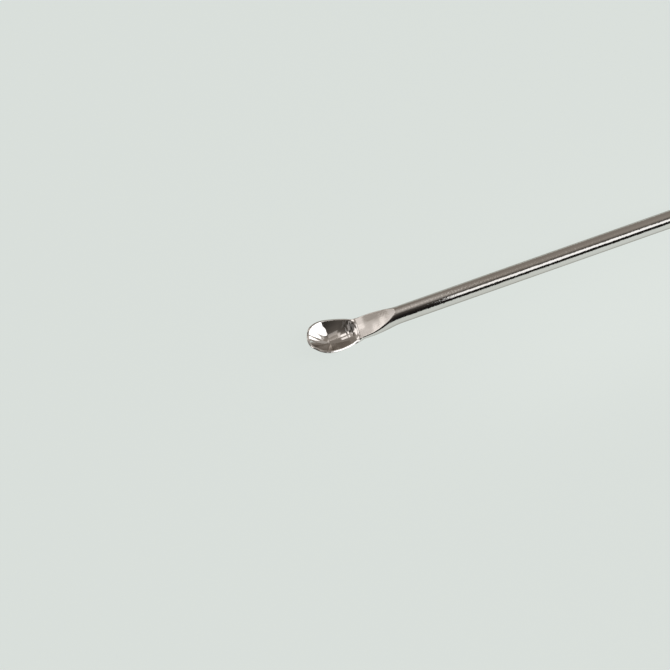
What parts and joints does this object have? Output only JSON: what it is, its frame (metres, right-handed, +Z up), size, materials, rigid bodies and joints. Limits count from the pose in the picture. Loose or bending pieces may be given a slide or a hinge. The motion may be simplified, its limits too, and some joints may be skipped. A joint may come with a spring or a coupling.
{
  "type": "laboratory micro spatula",
  "caption": "Slim laboratory hand tool: a round polished steel rod with a small forged spoon at one end and a flat round-tipped blade at the other.",
  "frame": {"origin": "middle of the object's bounding box at table height, under the rod's axis", "axes": "+X along the rod towards the blade, +Z up out of the bowl, Y across the rod"},
  "size_m": [0.15, 0.0074, 0.0034],
  "materials": {
    "steel": "polished stainless steel, mirror-bright with faint drawing lines along the rod"
  },
  "bodies": {
    "root": {"spatula": "steel"}
  },
  "joints": []
}
